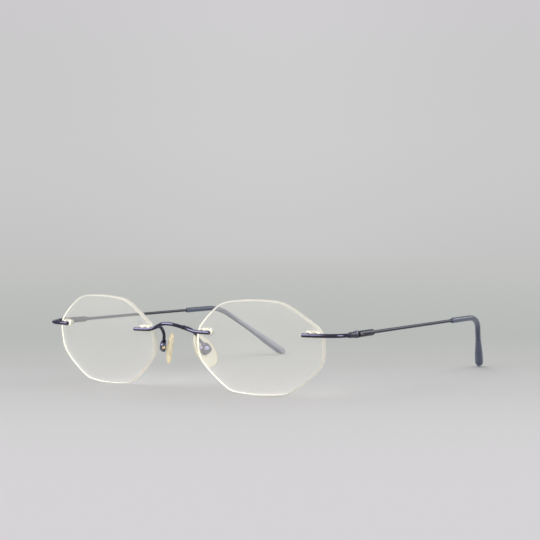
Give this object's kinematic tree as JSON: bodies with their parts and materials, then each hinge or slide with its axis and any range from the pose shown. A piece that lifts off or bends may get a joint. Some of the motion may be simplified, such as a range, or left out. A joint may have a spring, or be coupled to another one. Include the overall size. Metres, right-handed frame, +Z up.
{
  "type": "eyeglasses",
  "caption": "Rimless eyeglasses with octagonal lenses on twin-pin mounts, a wire bridge, rocking nose pads and folding wire temples with curved ear tips.",
  "frame": {"origin": "middle of the footprint, on the surface the glasses stand on with the temples open", "axes": "+Z up; +Y from the lenses back to the ear tips; +X to the wearer's left"},
  "size_m": [0.1338, 0.1446, 0.0328],
  "materials": {
    "lens": "clear polished",
    "sleeve": "clear",
    "wire_metal": "dark glossy plating",
    "temple_metal": "dark satin plating",
    "box_metal": "satin",
    "screw_metal": "polished",
    "hinge_screw_metal": "polished",
    "pin_metal": "satin",
    "pad": "clear soft",
    "core": "milky",
    "tip": "smooth, slightly clear"
  },
  "bodies": {
    "front": {"bridge": "wire_metal", "lens_left": "lens", "lens_right": "lens", "lens_sleeve_nasal_left": "sleeve", "lens_sleeve_nasal_right": "sleeve", "lens_sleeve_temporal_left": "sleeve", "lens_sleeve_temporal_right": "sleeve", "pad_box_left": "box_metal", "pad_box_right": "box_metal", "pad_screw_left": "screw_metal", "pad_screw_right": "screw_metal", "pad_arm_left": "wire_metal", "pad_arm_right": "wire_metal", "hinge_block_left": "wire_metal", "hinge_block_right": "wire_metal", "endpiece_left": "wire_metal", "endpiece_right": "wire_metal", "hinge_screw_left": "hinge_screw_metal", "hinge_screw_right": "hinge_screw_metal"},
    "temple_left": {"hinge_eye_left": "wire_metal", "lock_pin_left": "pin_metal", "temple_housing_left": "temple_metal", "temple_wire_left": "temple_metal", "temple_tip_left": "tip"},
    "nose_pad_body_left": {"nose_pad_left": "pad", "pad_core_left": "core"},
    "temple_right": {"hinge_eye_right": "wire_metal", "lock_pin_right": "pin_metal", "temple_housing_right": "temple_metal", "temple_wire_right": "temple_metal", "temple_tip_right": "tip"},
    "nose_pad_body_right": {"nose_pad_right": "pad", "pad_core_right": "core"}
  },
  "joints": [
    {"name": "temple_fold_left", "type": "hinge", "parent": "front", "child": "temple_left", "pos_m": [0.06585, -0.05335, 0.02145], "axis": [0, -0.1253, 0.9921], "range_deg": [0, 85]},
    {"name": "temple_fold_right", "type": "hinge", "parent": "front", "child": "temple_right", "pos_m": [-0.06585, -0.05335, 0.02145], "axis": [0, 0.1253, -0.9921], "range_deg": [0, 76]},
    {"name": "pad_rock_left", "type": "hinge", "parent": "front", "child": "nose_pad_body_left", "pos_m": [0.00996, -0.06162, 0.01415], "axis": [0.6018, 0.7986, 0], "range_deg": [-8, 8]},
    {"name": "pad_rock_right", "type": "hinge", "parent": "front", "child": "nose_pad_body_right", "pos_m": [-0.00996, -0.06162, 0.01415], "axis": [-0.6018, 0.7986, 0], "range_deg": [-8, 8]}
  ]
}
